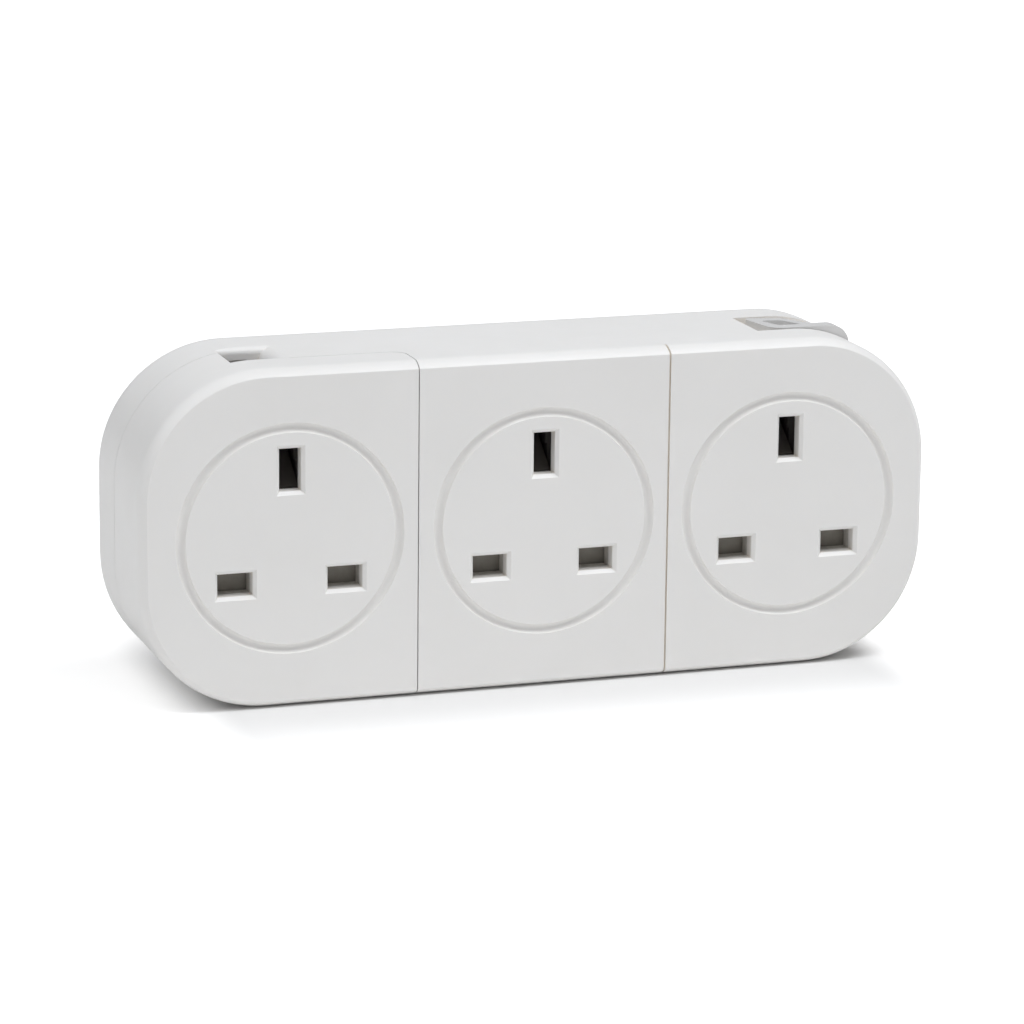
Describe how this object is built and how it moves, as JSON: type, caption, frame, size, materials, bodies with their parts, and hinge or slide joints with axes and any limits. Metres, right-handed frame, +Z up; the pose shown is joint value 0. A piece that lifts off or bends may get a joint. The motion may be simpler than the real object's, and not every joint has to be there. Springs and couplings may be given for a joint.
{
  "type": "trailing socket extension lead",
  "caption": "Low rounded trailing body with a row of shuttered rectangular-pin outlets, a side wiring cover, a top cord outlet and a swing-out hanging loop.",
  "frame": {"origin": "under the middle of the body, on the surface that it stands on", "axes": "+X along the row of outlets, to the right seen from the face; -Y out of the face; +Z up, the earth apertures above the power apertures"},
  "size_m": [0.164, 0.0384, 0.0676],
  "materials": {
    "body_plastic": "satin moulded, off white",
    "carrier_plastic": "matt moulded, dark grey",
    "shutter_plastic": "smooth moulded, dark grey brown",
    "loop_plastic": "smooth, pale grey and translucent",
    "clamp_fibre": "matt black",
    "brass": "rolled sheet",
    "zinc_steel": "zinc plated",
    "spring_steel": "drawn wire",
    "pin_steel": "ground"
  },
  "bodies": {
    "housing": {"main_housing": "body_plastic", "left_end_cover": "body_plastic", "rear_cover": "body_plastic", "live_strip": "brass", "neutral_strip": "brass", "earth_strip": "brass", "live_terminal": "brass", "neutral_terminal": "brass", "earth_terminal": "brass", "terminal_screws": "zinc_steel", "cord_clamp": "clamp_fibre", "cord_clamp_screws": "zinc_steel", "rear_screws": "zinc_steel", "loop_pivot_pin": "pin_steel", "left_contact_carrier": "carrier_plastic", "left_shutter_spring": "spring_steel", "left_live_contact": "brass", "left_neutral_contact": "brass", "left_earth_contact": "brass", "middle_contact_carrier": "carrier_plastic", "middle_shutter_spring": "spring_steel", "middle_live_contact": "brass", "middle_neutral_contact": "brass", "middle_earth_contact": "brass", "right_contact_carrier": "carrier_plastic", "right_shutter_spring": "spring_steel", "right_live_contact": "brass", "right_neutral_contact": "brass", "right_earth_contact": "brass"},
    "left_shutter": {"left_shutter": "shutter_plastic"},
    "middle_shutter": {"middle_shutter": "shutter_plastic"},
    "right_shutter": {"right_shutter": "shutter_plastic"},
    "hanging_loop": {"hanging_loop": "loop_plastic"}
  },
  "joints": [
    {"name": "left_shutter_slide", "type": "slide", "parent": "housing", "child": "left_shutter", "axis": [0, 0, -1], "range_m": [0, 0.0054], "stiffness_N_per_m": 150, "springref_m": -0.006, "deforming": ["left_shutter_spring"]},
    {"name": "middle_shutter_slide", "type": "slide", "parent": "housing", "child": "middle_shutter", "axis": [0, 0, -1], "range_m": [0, 0.0054], "stiffness_N_per_m": 150, "springref_m": -0.006, "deforming": ["middle_shutter_spring"]},
    {"name": "right_shutter_slide", "type": "slide", "parent": "housing", "child": "right_shutter", "axis": [0, 0, -1], "range_m": [0, 0.0054], "stiffness_N_per_m": 150, "springref_m": -0.006, "deforming": ["right_shutter_spring"]},
    {"name": "hanging_loop_hinge", "type": "hinge", "parent": "housing", "child": "hanging_loop", "pos_m": [0.0652, -0.00595, 0.0636], "axis": [0, 1, 0], "range_deg": [0, 130]}
  ]
}
